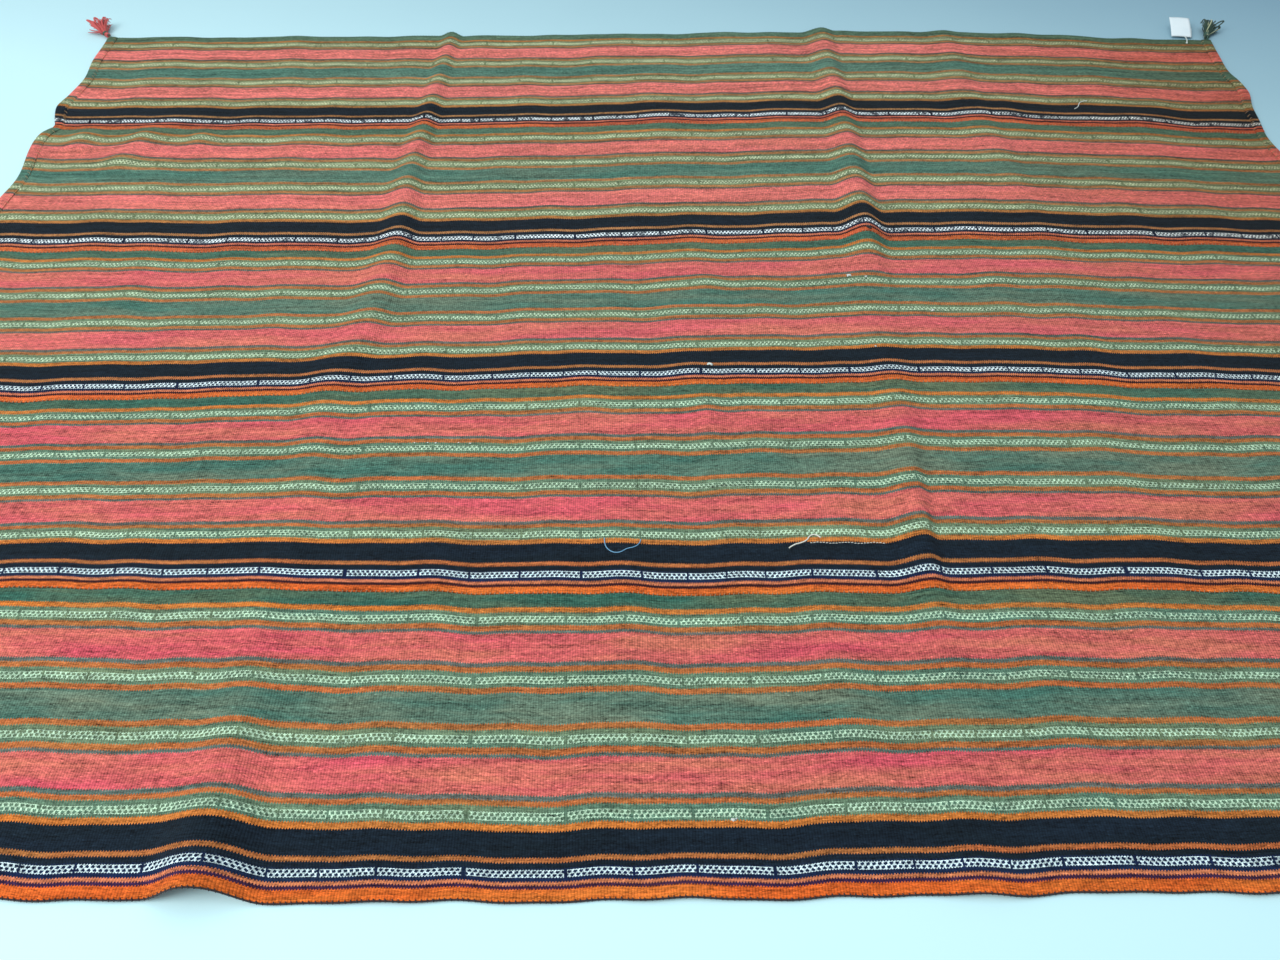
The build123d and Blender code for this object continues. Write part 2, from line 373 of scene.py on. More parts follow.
class Pile:
    # gathers many small tubes into one mesh
    def __init__(self):
        self.vertices = []
        self.faces = []

    # a round yarn along a few points, with a radius for each point
    def tube(self, path, radii, sides=6):
        path = np.array(path, float)
        steps = np.gradient(path, axis=0)
        steps /= np.linalg.norm(steps, axis=1)[:, None]
        up = np.array([0.0, 0.0, 1.0])
        base = len(self.vertices)
        for here, ahead, radius in zip(path, steps, radii):
            across = np.cross(ahead, up)
            if np.linalg.norm(across) < 0.05:
                across = np.cross(ahead, np.array([0.0, 1.0, 0.0]))
            across /= np.linalg.norm(across)
            over = np.cross(across, ahead)
            for k in range(sides):
                turn = 2 * math.pi * k / sides
                self.vertices.append(here + radius * (math.cos(turn) * across + math.sin(turn) * over))
        for row in range(len(path) - 1):
            for k in range(sides):
                a = base + row * sides + k
                b = base + row * sides + (k + 1) % sides
                self.faces.append((a, b, b + sides, a + sides))
        self.faces.append(tuple(base + k for k in reversed(range(sides))))
        last = base + (len(path) - 1) * sides
        self.faces.append(tuple(last + k for k in range(sides)))

    def piece(self, name, material):
        return newPiece(name, self.vertices, self.faces, material)


# materials
wool = {
    "ribPitch": 0.0030,
    "warpPitch": 0.0011,
    "toothSize": 0.0009,
    "cellPitch": 0.0059,
    "groupPitch": 0.068,
    "bumpDepth": 0.0008,
    "fade": (0.0, 0.12, 0.35, 0.8, 1.0),
}

# name of a stripe: its main tone and the tone it drifts to
tones = {
    "flame": ("D46026", "D0702E"),
    "plum": ("38203F", "452638"),
    "salmon": ("C87450", "CB7C50"),
    "navy": ("142244", "182840"),
    "ink": ("141F27", "16222E"),
    "orange": ("B66438", "A86A3A"),
    "ochre": ("C87230", "B87238"),
    "moss": ("567663", "6C7E60"),
    "slate": ("53675E", "63625C"),
    "coral": ("CA525E", "CA705C"),
    "fir": ("436C5F", "6C7965"),
    "sage": ("346052", "5E6C52"),
}

# what the tones have faded to on the farthest strip
fadedTones = {
    "flame": "B4563A",
    "plum": "34181E",
    "navy": "141A26",
    "salmon": "BC6450",
    "ink": "161D22",
    "orange": "987048",
    "ochre": "96683A",
    "moss": "76805A",
    "slate": "54564C",
    "coral": "D8746C",
    "fir": "4C7263",
    "sage": "506C58",
}

# the pale braid: its height in millimetres, the lattice's slanted holes as shares of that height
braidHigh = 10.5
braid = {
    "holeRise": 0.185,
    "holeWide": 0.34,
    "holeHigh": 0.16,
    "slant": 0.3,
    "reach": 0.41,
    "breakShare": 0.042,
    "wornAbove": 0.9,
    "patchAbove": 0.63,
}

# one strip from its near edge to its far edge: stripe and width in millimetres
stripeOrder = [
    ("flame", 12), ("plum", 4.5), ("salmon", 4.5), ("navy", 4.5), ("navy", braidHigh), ("ink", 7),
    ("orange", 5), ("ink", 29), ("ochre", 6), ("moss", 4), ("moss", braidHigh), ("moss", 4),
    ("orange", 6.5), ("slate", 5), ("coral", 37.5), ("slate", 5), ("orange", 7), ("moss", 4.5),
    ("moss", braidHigh), ("moss", 4.5), ("orange", 7), ("fir", 37), ("orange", 7), ("moss", 4.5),
    ("moss", braidHigh), ("moss", 4.5), ("orange", 7), ("slate", 5), ("coral", 38), ("slate", 5),
    ("orange", 6.5), ("moss", 4), ("moss", braidHigh), ("moss", 4), ("ochre", 6.5), ("sage", 21),
]

# the first braid, on navy ground, lies nearer to the strip's near edge than this
firstBraidEnd = 0.06


def stripeStops(which, fade):
    # the stripe order as two ramps, because one ramp holds at most 32 stops
    total = sum(width for name, width in stripeOrder)
    stops = []
    reach = 0.0
    for name, width in stripeOrder:
        now = paint(tones[name][which])
        later = paint(fadedTones[name]) if name in fadedTones else now
        share = fade * (1.0 - 0.4 * which)
        if name == "plum":
            # only the nearest strip has kept its purple line
            share = min(1.0, fade * 8)
        stops.append((reach / total, tuple(a + (b - a) * share for a, b in zip(now, later))))
        reach += width
    half = len(stops) // 2
    return stops[:half], stops[half:]


def braidCentres():
    reach = 0.0
    centres = []
    total = sum(width for name, width in stripeOrder)
    for name, width in stripeOrder:
        if width == braidHigh:
            centres.append((reach + width / 2) / total * blanket["stripWidth"])
        reach += width
    return centres


def braidMask(shader, u, v, strip):
    # pale floats woven over the ground colour, as a lattice with two rows of slanted holes
    high = braidHigh / 1000
    inBand = 0.0
    across = 0.0
    for centre in braidCentres():
        here = (v - centre).size() < high / 2
        inBand = here + inBand
        across = here * (v - centre) + across
    b = across / high

    # the braid breaks every few centimetres, and its slant may turn there
    bend = (u * 7.3 + strip * 1.9).sine() * 0.4 + (u * 19.0 + strip * 4.1).sine() * 0.2
    group = u / wool["groupPitch"] + bend + v * 0.4 + strip * 7.0
    gap = group.part() < braid["breakShare"]
    flip = shader.add("ShaderNodeTexWhiteNoise", {"noise_dimensions": "1D"}, {"W": group.floor()})
    way = (flip > 0.5) * 2.0 - 1.0
    a = (u / wool["cellPitch"]) * way
    holes = 0.0
    for turn, rise in ((0.0, -braid["holeRise"]), (0.5, braid["holeRise"])):
        side = (a + turn).part() - 0.5 + (b - rise) * braid["slant"]
        hole = (side / braid["holeWide"]) ** 2 + ((b - rise) / braid["holeHigh"]) ** 2
        holes = (hole < 1.0) + holes
    scallop = braid["reach"] - (a * (4 * math.pi)).sine() * 0.03

    # single floats have worn off, and whole patches of the first braid on the far strips
    sockets = {"Vector": shader.point(a.floor(), b * 2)}
    worn = shader.add("ShaderNodeTexWhiteNoise", {"noise_dimensions": "2D"}, sockets) > braid["wornAbove"]
    patch = shader.cloud(shader.point(u * 95, v * 60, strip * 3.1), 1.0, 1.0) > braid["patchAbove"]
    bare = patch * (0.85 * wool["fade"][strip - 1]) * (v < firstBraidEnd)
    left = (1 - worn * 0.7) * (1 - bare)
    return (holes < 0.5) * (b.size() < scallop) * inBand * (1 - gap) * left


def stripedWool(strip):
    shader = Shader(f"stripedWool{strip}")
    uv = shader.add("ShaderNodeUVMap", {"uv_map": "cloth"})
    u = shader.split(uv, 0)
    v = shader.split(uv, 1)
    seed = strip * 13.7
    faded = wool["fade"][strip - 1]

    # weave: ribs across the strip, each warp yarn rising over every other one
    drift = shader.cloud(shader.point(u * 60, v * 60, seed), 1.0, 2.0) - 0.5
    rib = u / wool["ribPitch"] + drift * 0.8
    warp = v / wool["warpPitch"]
    ribNumber = rib.floor()
    warpNumber = warp.floor()
    over = ((ribNumber + warpNumber) * 0.5).part() > 0.25
    dome = (rib * math.pi).sine().size() ** 0.7
    yarnRound = (warp * math.pi).sine().size()
    weave = dome * (yarnRound * 0.5 + 0.5) * (over * 0.3 + 0.7)
    cellPlace = shader.point(ribNumber, warpNumber, seed)
    speck = shader.add("ShaderNodeTexWhiteNoise", {"noise_dimensions": "3D"}, {"Vector": cellPlace})

    # stripes with small teeth where two colours interlace
    teeth = (rib * 2 * math.pi).sine() * wool["toothSize"]
    stagger = shader.cloud(shader.point(u * 300, v * 40, seed), 1.0, 1.0) * 0.0012 - 0.0006
    place = (v + teeth + stagger) / blanket["stripWidth"]
    mainNear, mainFar = stripeStops(0, faded)
    otherNear, otherFar = stripeStops(1, faded)
    middle = mainFar[0][0]
    far = place > middle

    def lookUp(nearStops, farStops):
        farStops = [(0.0, farStops[0][1])] + farStops[1:]
        first = shader.add("ShaderNodeValToRGB", {"stops": nearStops}, {0: place})
        second = shader.add("ShaderNodeValToRGB", {"stops": farStops}, {0: place})
        return shader.blend(far, first, second)

    main = lookUp(mainNear, mainFar)
    other = lookUp(otherNear, otherFar)
    abrash = shader.cloud(shader.point(u * 4, v * 30, seed), 1.0, 4.0, 0.6)
    toOther = shader.spread(abrash, 0.38, 0.64)
    colour = shader.blend(toOther, main, other)

    # braid bands
    lattice = braidMask(shader, u, v + teeth * 0.4, strip)
    first = v < firstBraidEnd
    dull = shader.cloud(shader.point(u * 30, v * 30, seed + 3), 1.0, 2.0)
    mint = shader.blend(faded, paint("C8E8C8"), paint("D2D0A8"))
    mint = shader.blend(dull * 0.4, mint, paint("98BC98"))
    snow = shader.blend(faded, paint("E4FAFC"), paint("F6FFFF"))
    pale = shader.blend(first, mint, snow)
    colour = shader.blend(lattice * 0.95, colour, pale)

    # dye streaks along the yarns, flecks and shade between the ribs
    streak = shader.cloud(shader.point(u * 14, v * 500, seed + 5), 1.0, 3.0, 0.7)
    broad = shader.cloud(shader.point(u * 6, v * 150, seed + 7), 1.0, 3.0, 0.6)
    mottle = shader.cloud(shader.point(u * 60, v * 110, seed + 8), 1.0, 3.0, 0.7)
    fleck = shader.cloud(shader.point(u * 190, v * 560, seed + 9), 1.0, 2.0, 0.6)
    dye = (streak - 0.5) * 1.5 + (broad - 0.5) * (0.8 + 0.8 * faded) + (mottle - 0.5) * 1.1
    flecks = (fleck - 0.5) * 1.9 + (speck - 0.5) * 0.3 + (speck > 0.985) * 0.5
    light = dye + flecks + weave * 0.6 + (0.72 + 0.05 * faded)
    colour = shader.dim(colour, light)

    # painted shade: the far strips go darker and browner towards the right-hand end, where less light falls
    farRightShade = shader.spread(u + abrash * 0.5, 1.9, 2.7, 0.75 * faded)
    colour = shader.blend(farRightShade, colour, paint("D2AF8C"), "MULTIPLY")

    fuzz = shader.cloud(shader.point(u * 2500, v * 2500, seed), 1.0, 2.0, 0.7)
    height = weave + fuzz * 0.3 + lattice * 0.35 + fleck * 0.5
    bump = shader.relief(height, 0.85, wool["bumpDepth"])
    rough = fuzz * 0.12 + 0.84
    sockets = {"Sheen Roughness": 0.55, "Specular IOR Level": 0.1}
    return shader.finish(colour, rough, bump, 0.02, **sockets)


def twistedYarn(name, code, otherCode, twist=900.0, sheen=0.15):
    shader = Shader(name)
    place = shader.add("ShaderNodeTexCoord", None, None, 3)
    tone = shader.cloud(place, 60.0, 3.0, 0.6)
    sockets = {"Vector": place, "Scale": twist, "Distortion": 3.0}
    ply = shader.add("ShaderNodeTexWave", {"bands_direction": "DIAGONAL"}, sockets)
    fibre = shader.cloud(place, 2600.0, 2.0, 0.7)
    colour = shader.blend(tone, paint(code), paint(otherCode))
    light = ply * 0.25 + fibre * 0.25 + 0.72
    colour = shader.dim(colour, light)
    bump = shader.relief(ply + fibre * 0.6, 0.6, 0.0003)
    return shader.finish(colour, fibre * 0.15 + 0.8, bump, sheen, **{"Specular IOR Level": 0.2})


def plainCard():
    shader = Shader("whiteCard")
    place = shader.add("ShaderNodeTexCoord", None, None, 3)
    fibre = shader.cloud(place, 900.0, 4.0, 0.65)
    cloud = shader.cloud(place, 40.0, 2.0)
    colour = shader.blend(cloud, paint("EEF6F7"), paint("DCEAEE"))
    bump = shader.relief(fibre, 0.3, 0.0002)
    return shader.finish(colour, fibre * 0.1 + 0.5, bump, 0.0)


def paleFloor():
    # a pale floor with painted shade, darker towards the far right corner where less light falls
    shader = Shader("paleFloor")
    place = shader.add("ShaderNodeTexCoord", None, None, 3)
    x = shader.split(place, 0)
    y = shader.split(place, 1)
    grain = shader.cloud(place, 4.0, 3.0)
    shade = shader.spread(x * 0.5 + y + grain * 0.1, 0.2, 1.9)
    colour = shader.blend(shade, paint("C8EDF2"), paint("7FA2B4"))
    return shader.finish(colour, grain * 0.05 + 0.62, None, 0.0, **{"Specular IOR Level": 0.25})


yarns = {
    "joining": twistedYarn("joiningYarn", "C58E72", "7C8C6A"),
    "dark": twistedYarn("darkOvercastYarn", "2A2C33", "3A2E2C"),
    "green": twistedYarn("greenOvercastYarn", "3F6A5C", "54796A"),
    "hem": twistedYarn("hemYarn", "D08A62", "8E9A70"),
    "coralWool": twistedYarn("coralTasselWool", "DE6A5E", "C4525A", 500.0, 0.25),
    "greenWool": twistedYarn("greenTasselWool", "3A5444", "2A4038", 500.0, 0.2),
    "paleWool": twistedYarn("paleTasselWool", "C4C09A", "A9B590", 500.0, 0.35),
    "wrap": twistedYarn("wrapYarn", "3F6A5C", "355648"),
    "white": twistedYarn("whiteThread", "EDF4EE", "DDE6DE"),
    "blue": twistedYarn("blueThread", "86BCDE", "629CC8"),
    "mending": twistedYarn("mendingYarn", "F1F0E4", "DFE2D4"),
}
cardMaterial = plainCard()
print("materials made")


# camera, floor and light
camera = {
    "place": (-0.069, -1.295, 1.0685),
    "down": 48.36,
    "right": 0.99,
    "roll": 0.29,
    "lens": 30.18,
}


def makeCamera():
    data = bpy.data.cameras.new("camera")
    data.sensor_width = 36.0
    data.lens = camera["lens"]
    data.clip_start = 0.05
    eye = bpy.data.objects.new("camera", data)
    scene.collection.objects.link(eye)
    eye.location = camera["place"]
    eye.rotation_euler = (math.radians(90 - camera["down"]), 0, -math.radians(camera["right"]))
    eye.rotation_euler.rotate_axis("Z", math.radians(camera["roll"]))
    scene.camera = eye


def makeFloor():
    size = 14.0
    corners = [(-size, -size, 0), (size, -size, 0), (size, size, 0), (-size, size, 0)]
    floor = newPiece("floor", [(x, y, -0.0004) for x, y, z in corners], [(0, 1, 2, 3)], paleFloor(), False)
    return floor


lights = [
    {"name": "window", "place": (-2.4, -1.6, 3.0), "size": 2.0, "power": 112, "tint": (1.0, 1.0, 1.0)},
    {"name": "ceiling", "place": (0.0, 0.6, 3.4), "size": 3.0, "power": 38, "tint": (0.94, 0.98, 1.0)},
]


def makeLights():
    for light in lights:
        data = bpy.data.lights.new(light["name"], "AREA")
        data.size = light["size"]
        data.energy = light["power"]
        data.color = light["tint"]
        lamp = bpy.data.objects.new(light["name"], data)
        scene.collection.objects.link(lamp)
        lamp.location = light["place"]
        aim = Vector((0, 0, 0)) - Vector(light["place"])
        lamp.rotation_euler = aim.to_track_quat("-Z", "Y").to_euler()
    world = bpy.data.worlds.new("softSky")
    world.use_nodes = True
    sky = world.node_tree.nodes["Background"]
    sky.inputs["Color"].default_value = (0.80, 0.92, 1.0, 1.0)
    sky.inputs["Strength"].default_value = 0.55
    scene.world = world
    scene.view_settings.view_transform = "Standard"


makeCamera()
floor = makeFloor()
makeLights()
print("camera, floor and lights made")


# woven strips
# the hem's free part: how far back from the fold, and how far it settles
hemTail = [
    (0.004, 0.0), (0.008, 0.0), (0.012, 0.0001), (0.0145, 0.0005), (0.016, 0.0009), (0.017, 0.0012),
]


# the nearest strip was beaten closer along its edge
crowdAt = smoothCurve([-0.8, -0.5, -0.25, 0.0, 0.2, 0.6], [0.004, 0.004, 0.008, 0.007, 0.003, 0.002])
crowdShare = smoothCurve([0.0, 0.035, 0.063, 0.11, 0.2, 0.36], [0.0, 0.6, 1.0, 0.8, 0.1, 0.0])


def clothPath():
    # one line along a strip: x, height of the cloth's middle above its underside,
    # direction of the upper face (x and z), and 0 on the flat part to 1 on the folded hem
    fold = thick / 2 + blanket["foldGap"] / 2
    turnX = halfLength - thick / 2 - fold
    across = int(round(2 * turnX / blanket["cell"]))
    rows = [(x, thick / 2, 0.0, 1.0, 0.0) for x in np.linspace(-turnX, turnX, across + 1)]

    def hemRows(side):
        rows = []
        for k in range(1, 8):
            turn = math.pi * k / 7
            x = side * (turnX + fold * math.sin(turn))
            z = thick / 2 + fold * (1 - math.cos(turn))
            rows.append((x, z, -side * math.sin(turn), math.cos(turn), k / 7))
        for back, drop in hemTail:
            rows.append((side * (turnX - back), thick / 2 + 2 * fold - drop, 0.0, -1.0, 1.0))
        return rows

    return hemRows(-1)[::-1] + rows + hemRows(1)


def shellFaces(rows, columns):
    # an upper and a lower grid of points, closed all round
    base = rows * columns
    i, j = np.meshgrid(np.arange(rows - 1), np.arange(columns - 1), indexing="ij")
    a = (i * columns + j).ravel()
    upper = np.stack([a, a + columns, a + columns + 1, a + 1], axis=1)
    lower = np.stack([a, a + 1, a + columns + 1, a + columns], axis=1) + base
    rim = []
    for k in range(rows - 1):
        p, q = k * columns, (k + 1) * columns
        rim.append((p, p + base, q + base, q))
        p, q = p + columns - 1, q + columns - 1
        rim.append((p, q, q + base, p + base))
    for k in range(columns - 1):
        rim.append((k, k + 1, k + 1 + base, k + base))
        p = (rows - 1) * columns + k
        rim.append((p, p + base, p + 1 + base, p + 1))
    return upper.tolist() + lower.tolist() + rim


def makeStrip(number, material):
    path = np.array(clothPath())
    steps = np.hypot(np.diff(path[:, 0]), np.diff(path[:, 1]))
    along = np.concatenate([[0.0], np.cumsum(steps)])
    edge = [0.0, 0.0006, 0.0016, 0.003]
    middle = np.linspace(edge[-1], blanket["stripWidth"] - edge[-1], blanket["pointsAcross"])[1:-1]
    across = np.array(edge + list(middle) + [blanket["stripWidth"] - e for e in reversed(edge)])
    share = across / blanket["stripWidth"]
    inward = np.minimum(across, blanket["stripWidth"] - across)
    plump = 0.45 + 0.55 * np.sqrt(np.clip(1 - (1 - np.clip(inward / 0.0025, 0, 1)) ** 2, 0, 1))
    x, middleZ, faceX, faceZ, hem = [path[:, k][:, None] for k in range(5)]
    nearY = seamY[number - 1] + strayAt[number - 1](x)
    farY = seamY[number] + strayAt[number](x)
    gap = 0.0004
    y = nearY + gap + (farY - nearY - 2 * gap) * share[None, :]
    if number == 1:
        y = y - crowdAt(x) * crowdShare(across)[None, :]
    y = y + wobbleAt(x, y)
    lift = liftAt(x, y)
    slip = 0.0026 * np.sin(15 * y + number) + 0.002 * np.sin(41 * y)
    y = y + hem * slip * np.clip(inward / 0.03, 0, 1)[None, :]
    shiftX = endShift(x, y) + 0.0012 * np.sin(33 * y + 2 * number) * hem
    wrinkle = 0.0006 * np.sin(60 * y + 2.0 * number) * hem
    tail = np.clip((np.abs(x) - (halfLength - 0.019)) / 0.005, 0, 1) * (hem == 1) + (hem < 1)
    halfThick = thick / 2 * plump[None, :] * (0.12 + 0.88 * tail)
    sheets = []
    for side in (1, -1):
        px = x + shiftX + side * faceX * halfThick
        pz = lift + middleZ + side * faceZ * halfThick + wrinkle
        sheets.append(np.stack([px, y, pz], axis=-1))
    rows, columns = sheets[0].shape[:2]
    vertices = np.concatenate([s.reshape(-1, 3) for s in sheets])
    piece = newPiece(f"strip{number}", vertices, shellFaces(rows, columns), material)
    uv = piece.data.uv_layers.new(name="cloth")
    u = np.repeat(along, columns)
    v = np.tile(across, rows)
    if number > 1:
        # the seam has caught the near edge of every strip but the first
        v = v + blanket["caught"] * np.clip(1 - v / 0.15, 0, 1)
    flat = np.concatenate([np.stack([u, v], axis=1)] * 2)
    corners = np.zeros(len(piece.data.loops), int)
    piece.data.loops.foreach_get("vertex_index", corners)
    uv.data.foreach_set("uv", flat[corners].astype(np.float32).ravel())
    return piece


# which body each strip's far or near side stays on, and where it bends
bends = {
    1: ("near_inner_panel", "near_outer_panel", -0.541, -0.601),
    2: ("middle_panel", "near_inner_panel", -0.193, -0.253),
    4: ("middle_panel", "far_inner_panel", 0.188, 0.248),
    5: ("far_inner_panel", "far_outer_panel", 0.561, 0.621),
}


def settle(piece, number):
    # a piece on the middle strip goes with the middle panel; a piece on any other strip keeps its place, its
    # transform baked into the mesh
    if number in bends:
        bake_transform(piece)
    else:
        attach(piece, "middle_panel")


for number in range(1, blanket["strips"] + 1):
    strip = makeStrip(number, stripedWool(number))
    settle(strip, number)
    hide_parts(f"woven_strip_{number}")
print("strips woven")


# stitches and edge yarn
stitching = {
    "seamPitch": 0.0058,
    "seamReach": 0.0021,
    "seamRadius": 0.00045,
    "edgePitch": 0.0058,
    "edgeRadius": 0.0006,
    "hemPitch": 0.012,
    "hemRadius": 0.00036,
}


def makeSeam(number):
    rng = random.Random(100 + number)
    pile = Pile()
    reach = halfLength - blanket["hem"]
    for x in np.arange(-reach, reach, stitching["seamPitch"]):
        x = x + rng.uniform(-0.0005, 0.0005)
        lean = rng.uniform(0.0004, 0.0012)
        far = stitching["seamReach"] * rng.uniform(0.8, 1.2)
        path = []
        for t, up in ((-1.0, -0.0008), (-0.7, 0.0), (0.0, 0.0004), (0.7, 0.0), (1.0, -0.0008)):
            path.append(seamPoint(number, x + lean * t, far * t, up))
        radius = stitching["seamRadius"]
        pile.tube(path, [radius * 0.6, radius, radius * 1.1, radius, radius * 0.6], 5)
    return pile.piece(f"joiningStitches{number}", yarns["joining"])


def makeOvercast(line, out, name, material):
    # a cord laid along the edge, and turns of yarn that wrap it
    rng = random.Random(200 + line)
    pile = Pile()
    reach = halfLength - 0.002
    xs = np.arange(-reach, reach, 0.004)
    cord = [seamPoint(line, x, out * 0.0004, -0.0012) for x in xs]
    pile.tube(cord, [0.0009 + 0.0001 * rng.random() for x in xs], 6)
    for x in np.arange(-reach + 0.003, reach - 0.003, stitching["edgePitch"]):
        x = x + rng.uniform(-0.0007, 0.0007)
        inside = 0.0018 * rng.uniform(0.7, 1.2)
        path = []
        for back, up, lean in (
            (inside, -0.0006, -0.0008),
            (inside * 0.6, 0.0003, -0.0005),
            (-0.0003, 0.0002, 0.0),
            (-0.0014, -0.0012, 0.0004),
            (-0.0003, -0.0024, 0.0008),
        ):
            path.append(seamPoint(line, x + lean, -out * back, up))
        radius = stitching["edgeRadius"] * rng.uniform(0.85, 1.15)
        pile.tube(path, [radius * 0.6, radius, radius, radius, radius * 0.7], 5)
    return pile.piece(name, material)


def makeHemStitches(number):
    rng = random.Random(300 + number)
    pile = Pile()
    hemTop = 2 * thick + blanket["foldGap"]
    for side in (-1, 1):
        inner = side * (halfLength - blanket["hem"])
        start, end = seamY[number - 1] + 0.012, seamY[number] - 0.010
        for y in np.arange(start, end, stitching["hemPitch"]):
            line = number - 1
            share = (y - seamY[line]) / blanket["stripWidth"]
            stray = strayAt[line](inner) * (1 - share) + strayAt[line + 1](inner) * share
            y = y + float(stray) + rng.uniform(-0.001, 0.001)
            shift = float(endShift(np.array(inner), np.array(y)))
            ground = float(liftAt(np.array(inner), np.array(y)))
            path = [
                (inner + shift - side * 0.0022, y - 0.0016, ground + thick - 0.0004),
                (inner + shift - side * 0.0010, y - 0.0010, ground + thick + 0.0008),
                (inner + shift + side * 0.0006, y, ground + hemTop + 0.0004),
                (inner + shift + side * 0.0030, y + 0.0012, ground + hemTop + 0.0006),
                (inner + shift + side * 0.0042, y + 0.0018, ground + hemTop - 0.0006),
            ]
            radius = stitching["hemRadius"]
            pile.tube(path, [radius * 0.7, radius, radius, radius, radius * 0.6], 5)
    return pile.piece(f"hemStitches{number}", yarns["hem"])


seamBodies = {1: "near_inner_panel", 2: "middle_panel", 3: "middle_panel", 4: "far_inner_panel"}
for number, body in seamBodies.items():
    seam = makeSeam(number)
    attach(seam, body)
    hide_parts(f"joining_seam_{number}")

nearOvercast = makeOvercast(0, -1, "nearOvercast", yarns["dark"])
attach(nearOvercast, "near_outer_panel")
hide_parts("near_edge_overcast")
farOvercast = makeOvercast(blanket["strips"], 1, "farOvercast", yarns["green"])
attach(farOvercast, "far_outer_panel")
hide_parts("far_edge_overcast")

for number in range(1, blanket["strips"] + 1):
    row = makeHemStitches(number)
    settle(row, number)
    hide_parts(f"hem_stitching_{number}")
print("stitches sewn")


# corner tassels
tassels = [
    {
        "node": "far_left_tassel", "heading": 135, "wool": "coralWool", "slot": "coral_tassel_wool",
        "loops": 16, "lean": -0.5, "widest": 1.2, "shift": (0.008, 0.0), "pale": 0,
    },
    {
        "node": "far_right_tassel", "heading": 75, "wool": "greenWool", "slot": "green_tassel_wool",
        "loops": 2, "lean": -0.3, "widest": 0.22, "shift": (0.002, 0.0), "pale": 14,
    },
    {
        "node": "near_left_tassel", "heading": 255, "wool": "greenWool", "slot": "green_tassel_wool",
        "loops": 2, "lean": 0.0, "widest": 1.2, "shift": (0.0, 0.0), "pale": 8,
    },
    {
        "node": "near_right_tassel", "heading": 315, "wool": "coralWool", "slot": "coral_tassel_wool",
        "loops": 12, "lean": 0.0, "widest": 1.2, "shift": (0.0, 0.0), "pale": 0,
    },
]
tasselSize = {"strands": 70, "length": 0.058, "neckAt": 0.013, "neckRadius": 0.0038, "ply": 0.0011}


def addStrands(pile, rng, tassel, knot, out, side):
    # combed strands, then loose faded ones on one side; says where the faded ones start
    length, neck = tasselSize["length"], tasselSize["neckAt"]
    steps = 11
    paleStarts = []
    for k in range(tasselSize["strands"] + tassel["pale"]):
        turn = rng.uniform(0, 2 * math.pi)
        reach = math.sqrt(rng.random())
        start = Vector((math.cos(turn), math.sin(turn))) * tasselSize["neckRadius"] * reach
        fan = min(rng.gauss(0, 0.38) + tassel["lean"] * 0.6, tassel["widest"])
        if k >= tasselSize["strands"]:
            fan = rng.uniform(-0.9, -0.2)
            paleStarts.append(len(pile.faces))
        rise = rng.uniform(-0.1, 1.0) * 0.021
        run = length * rng.uniform(0.72, 1.0)
        curl = rng.gauss(0, 0.004)
        path = []
        for s in range(steps + 1):
            t = s / steps
            d = neck * 0.2 + (run - neck * 0.2) * t
            spread = max(0.0, (d - neck) / (length - neck))
            sideways = start.x * (1 + spread) + math.sin(fan) * spread * length * 0.62
            sideways += curl * math.sin(3.1 * spread)
            arch = 4 * spread * (1 - spread * 0.92)
            z = knot.z + start.y * (1 - 0.5 * spread) + rise * arch * 0.95 - 0.0035 * spread
            point = knot + out * d * math.cos(fan * spread * 0.8) + side * sideways
            path.append((point.x, point.y, max(0.0016, z)))
        ply = tasselSize["ply"] * rng.uniform(0.8, 1.5)
        radii = [ply * (1.0 - 0.55 * (s / steps) ** 3) for s in range(steps + 1)]
        pile.tube(path, radii, 5)
    return paleStarts


def addLoops(pile, rng, tassel, knot, out, side):
    # uncut loops of thicker yarn standing up among the strands
    length, neck = tasselSize["length"], tasselSize["neckAt"]
    steps = 16
    for k in range(tassel["loops"]):
        fan = rng.uniform(-0.75, 0.75) + tassel["lean"] * 0.4
        reach = length * rng.uniform(0.55, 0.92)
        wide = rng.uniform(0.0025, 0.0055)
        rise = rng.uniform(0.004, 0.019)
        path = []
        for s in range(steps + 1):
            t = s / steps
            there = math.sin(math.pi * t) ** 0.7
            d = neck + (reach - neck) * there
            sideways = math.tan(fan) * (d - neck) * 0.8 + wide * math.cos(math.pi * t)
            z = knot.z + rise * math.sin(0.5 * math.pi * there) + 0.002 * math.cos(math.pi * t)
            point = knot + out * d + side * sideways
            path.append((point.x, point.y, max(0.002, z)))
        ply = tasselSize["ply"] * rng.uniform(1.2, 1.8)
        pile.tube(path, [ply] * len(path), 6)


def addKnot(pile, knot, out, side):
    # the knot at the corner: two turns of thick yarn
    steps = 12
    for lean in (-0.5, 0.6):
        path = []
        for s in range(steps + 1):
            turn = 2 * math.pi * s / steps
            ring = side * math.cos(turn) * 0.0036 + Vector((0, 0, 1)) * math.sin(turn) * 0.0038
            ahead = 0.0012 * math.sin(turn * 2) + lean * (0.002 + 0.003 * math.cos(turn))
            path.append(tuple(knot + ring + out * ahead))
        pile.tube(path, [0.0016] * len(path), 6)


